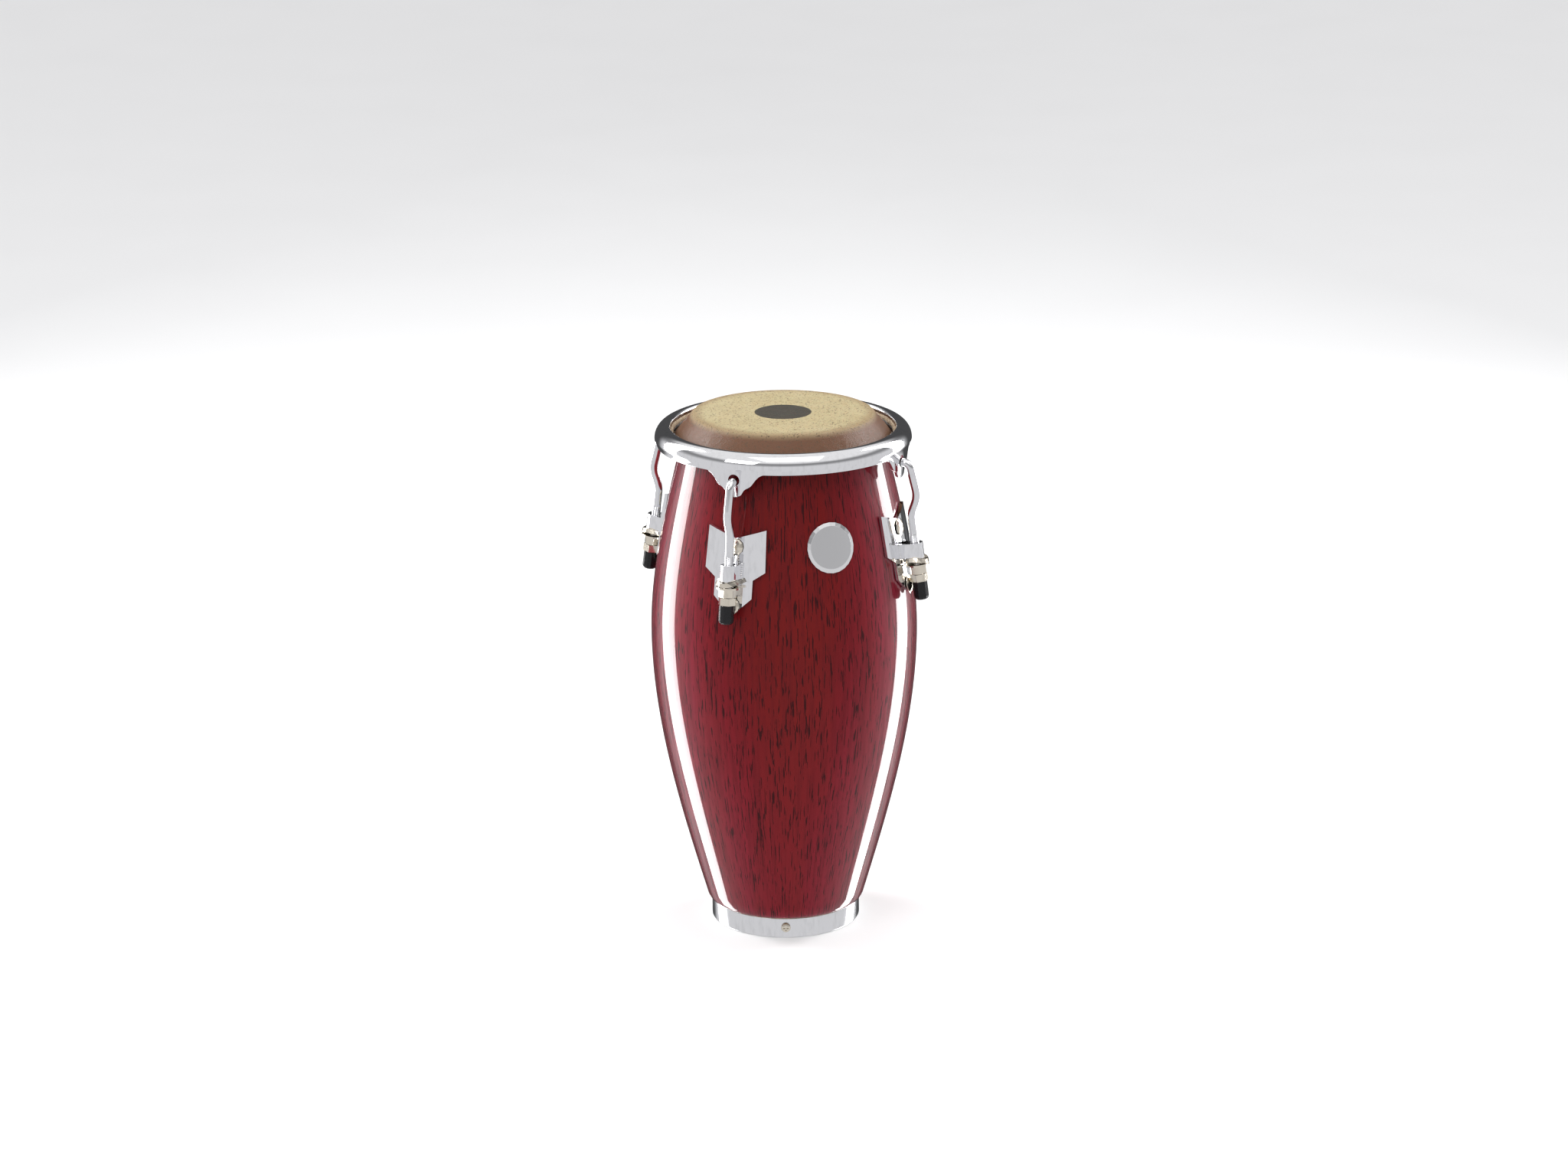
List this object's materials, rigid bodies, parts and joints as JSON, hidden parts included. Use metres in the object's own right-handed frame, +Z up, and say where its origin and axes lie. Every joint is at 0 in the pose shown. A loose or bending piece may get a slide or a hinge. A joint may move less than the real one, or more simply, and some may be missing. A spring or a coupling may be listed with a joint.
{
  "type": "mini conga drum",
  "caption": "Small barrel-shaped conga with a tunable skin head, wine-red lacquered wood shell, rolled chrome crown with ears, hook rods and side lugs",
  "frame": {"origin": "centre of the foot, on the surface that the drum stands on", "axes": "+Z up along the drum's axis, -Y to the front (the side with a ring screw between two lugs), +X to the drum's right as seen from the front"},
  "size_m": [0.1518, 0.1518, 0.2794],
  "materials": {
    "lacquered_wood": "wine-red high-gloss lacquer over wood grain",
    "chrome": "bright polished chrome plating",
    "nickel": "warm nickel plating",
    "steel": "plain zinc-plated steel",
    "skin": "natural animal skin, dry, with fine specks",
    "badge_metal": "satin metal with a bright bevel",
    "black_cap": "black gloss"
  },
  "bodies": {
    "drum": {"shell": "lacquered_wood", "bottom_ring": "chrome", "ring_screw_1": "nickel", "ring_screw_2": "nickel", "ring_screw_3": "nickel", "drumhead": "skin", "flesh_hoop": "steel", "badge": "badge_metal", "lug_bracket_1": "chrome", "lug_bolt_upper_1": "nickel", "lug_bolt_lower_1": "nickel", "backing_plate_1": "steel", "bolt_nut_upper_1": "steel", "bolt_nut_lower_1": "steel", "curved_washer_1": "nickel", "flat_washer_1": "nickel", "lug_bracket_2": "chrome", "lug_bolt_upper_2": "nickel", "lug_bolt_lower_2": "nickel", "backing_plate_2": "steel", "bolt_nut_upper_2": "steel", "bolt_nut_lower_2": "steel", "curved_washer_2": "nickel", "flat_washer_2": "nickel", "lug_bracket_3": "chrome", "lug_bolt_upper_3": "nickel", "lug_bolt_lower_3": "nickel", "backing_plate_3": "steel", "bolt_nut_upper_3": "steel", "bolt_nut_lower_3": "steel", "curved_washer_3": "nickel", "flat_washer_3": "nickel", "lug_bracket_4": "chrome", "lug_bolt_upper_4": "nickel", "lug_bolt_lower_4": "nickel", "backing_plate_4": "steel", "bolt_nut_upper_4": "steel", "bolt_nut_lower_4": "steel", "curved_washer_4": "nickel", "flat_washer_4": "nickel"},
    "crown": {"crown": "chrome"},
    "hook_rod_1": {"hook_1": "chrome"},
    "nuts_1": {"tuning_nut_1": "nickel", "lock_nut_1": "nickel", "rod_cap_1": "black_cap"},
    "hook_rod_2": {"hook_2": "chrome"},
    "nuts_2": {"tuning_nut_2": "nickel", "lock_nut_2": "nickel", "rod_cap_2": "black_cap"},
    "hook_rod_3": {"hook_3": "chrome"},
    "nuts_3": {"tuning_nut_3": "nickel", "lock_nut_3": "nickel", "rod_cap_3": "black_cap"},
    "hook_rod_4": {"hook_4": "chrome"},
    "nuts_4": {"tuning_nut_4": "nickel", "lock_nut_4": "nickel", "rod_cap_4": "black_cap"}
  },
  "joints": [
    {"name": "crown_slide", "type": "slide", "parent": "drum", "child": "crown", "axis": [0, 0, 1], "range_m": [0, 0.0025]},
    {"name": "hook_slide_1", "type": "slide", "parent": "drum", "child": "hook_rod_1", "axis": [0.0533, 0.1286, 0.9903], "range_m": [0, 0.0026]},
    {"name": "nut_turn_1", "type": "hinge", "parent": "drum", "child": "nuts_1", "pos_m": [-0.02849, -0.06878, 0.212], "axis": [0.0533, 0.1286, 0.9903], "range_deg": [0, 1160]},
    {"name": "hook_slide_2", "type": "slide", "parent": "drum", "child": "hook_rod_2", "axis": [-0.1286, 0.0533, 0.9903], "range_m": [0, 0.0026]},
    {"name": "nut_turn_2", "type": "hinge", "parent": "drum", "child": "nuts_2", "pos_m": [0.06878, -0.02849, 0.212], "axis": [-0.1286, 0.0533, 0.9903], "range_deg": [0, 1160]},
    {"name": "hook_slide_3", "type": "slide", "parent": "drum", "child": "hook_rod_3", "axis": [-0.0533, -0.1286, 0.9903], "range_m": [0, 0.0026]},
    {"name": "nut_turn_3", "type": "hinge", "parent": "drum", "child": "nuts_3", "pos_m": [0.02849, 0.06878, 0.212], "axis": [-0.0533, -0.1286, 0.9903], "range_deg": [0, 1160]},
    {"name": "hook_slide_4", "type": "slide", "parent": "drum", "child": "hook_rod_4", "axis": [0.1286, -0.0533, 0.9903], "range_m": [0, 0.0026]},
    {"name": "nut_turn_4", "type": "hinge", "parent": "drum", "child": "nuts_4", "pos_m": [-0.06878, 0.02849, 0.212], "axis": [0.1286, -0.0533, 0.9903], "range_deg": [0, 1160]}
  ],
  "couplings": [
    {"joint": "hook_slide_1", "follows": "crown_slide", "ratio": 1.0098},
    {"joint": "nut_turn_1", "follows": "crown_slide", "rad_per_m": 7931.2},
    {"joint": "hook_slide_2", "follows": "crown_slide", "ratio": 1.0098},
    {"joint": "nut_turn_2", "follows": "crown_slide", "rad_per_m": 7931.2},
    {"joint": "hook_slide_3", "follows": "crown_slide", "ratio": 1.0098},
    {"joint": "nut_turn_3", "follows": "crown_slide", "rad_per_m": 7931.2},
    {"joint": "hook_slide_4", "follows": "crown_slide", "ratio": 1.0098},
    {"joint": "nut_turn_4", "follows": "crown_slide", "rad_per_m": 7931.2}
  ]
}
